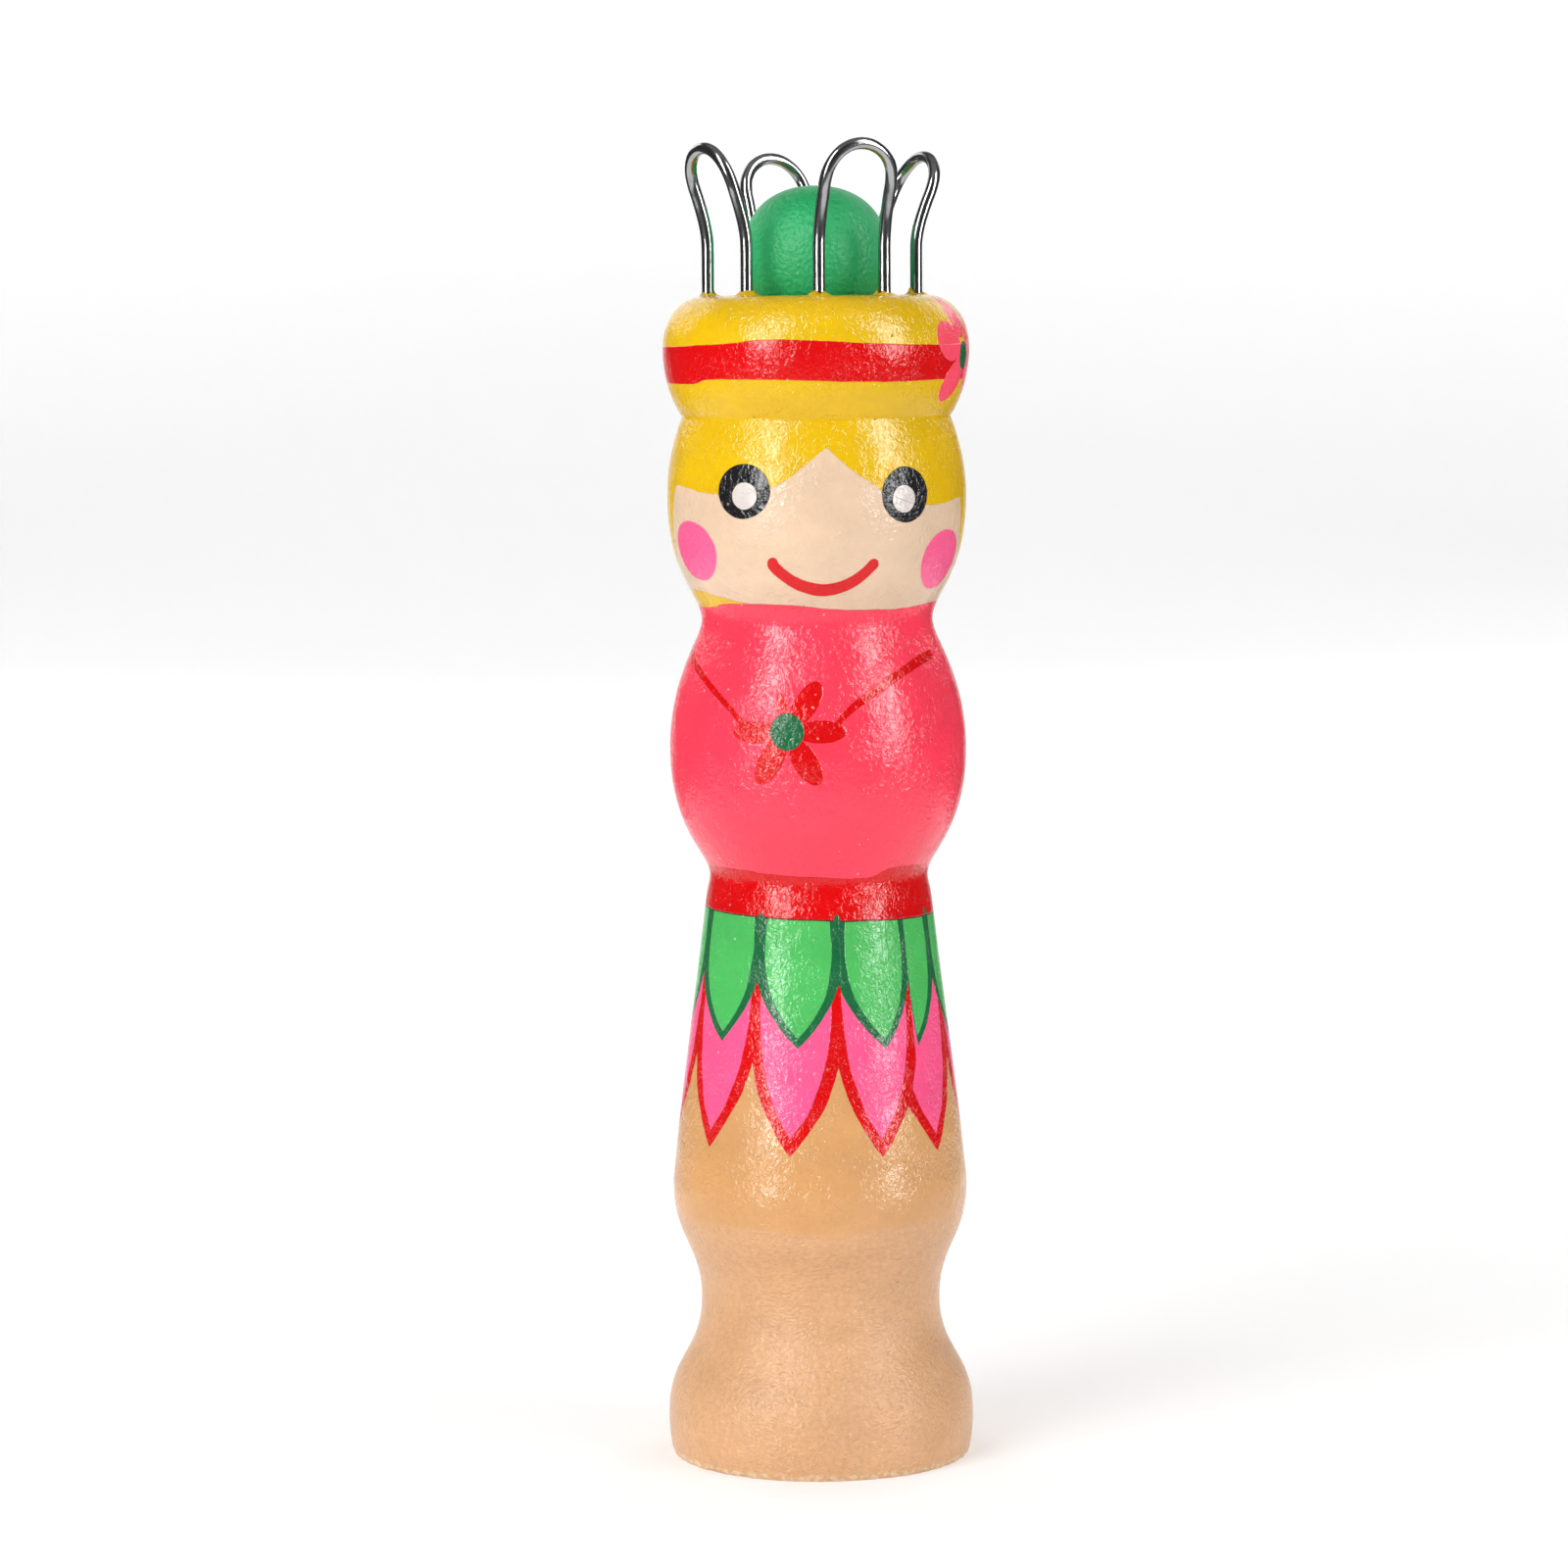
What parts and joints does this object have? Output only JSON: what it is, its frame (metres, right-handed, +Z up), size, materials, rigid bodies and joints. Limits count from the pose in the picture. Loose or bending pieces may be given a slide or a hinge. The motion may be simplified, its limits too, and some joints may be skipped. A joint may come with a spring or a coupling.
{
  "type": "knitting doll",
  "caption": "Turned and painted wooden knitting doll with wire stitch hooks around an axial bore, and a ball-headed wooden needle stored in the bore.",
  "frame": {"origin": "centre of the bottom face, on the bore's axis", "axes": "+Z up the bore's axis from the feet to the crown, -Y the way the painted face looks, +X to the right as seen from the front"},
  "size_m": [0.0254, 0.0254, 0.1088],
  "materials": {
    "painted_wood": "hand-painted gloss enamel over turned wood, bare and satin at the feet",
    "steel_wire": "bright drawn wire",
    "bare_wood": "bare sanded wood",
    "green_paint": "satin green paint over wood"
  },
  "bodies": {
    "doll": {"doll_body": "painted_wood", "hook_front_right": "steel_wire", "hook_back_right": "steel_wire", "hook_back_left": "steel_wire", "hook_front_left": "steel_wire"},
    "needle": {"needle_shank": "bare_wood", "needle_ball": "green_paint"}
  },
  "joints": [
    {"name": "needle_lift", "type": "slide", "parent": "doll", "child": "needle", "axis": [0, 0, 1], "range_m": [0, 0.095]}
  ]
}
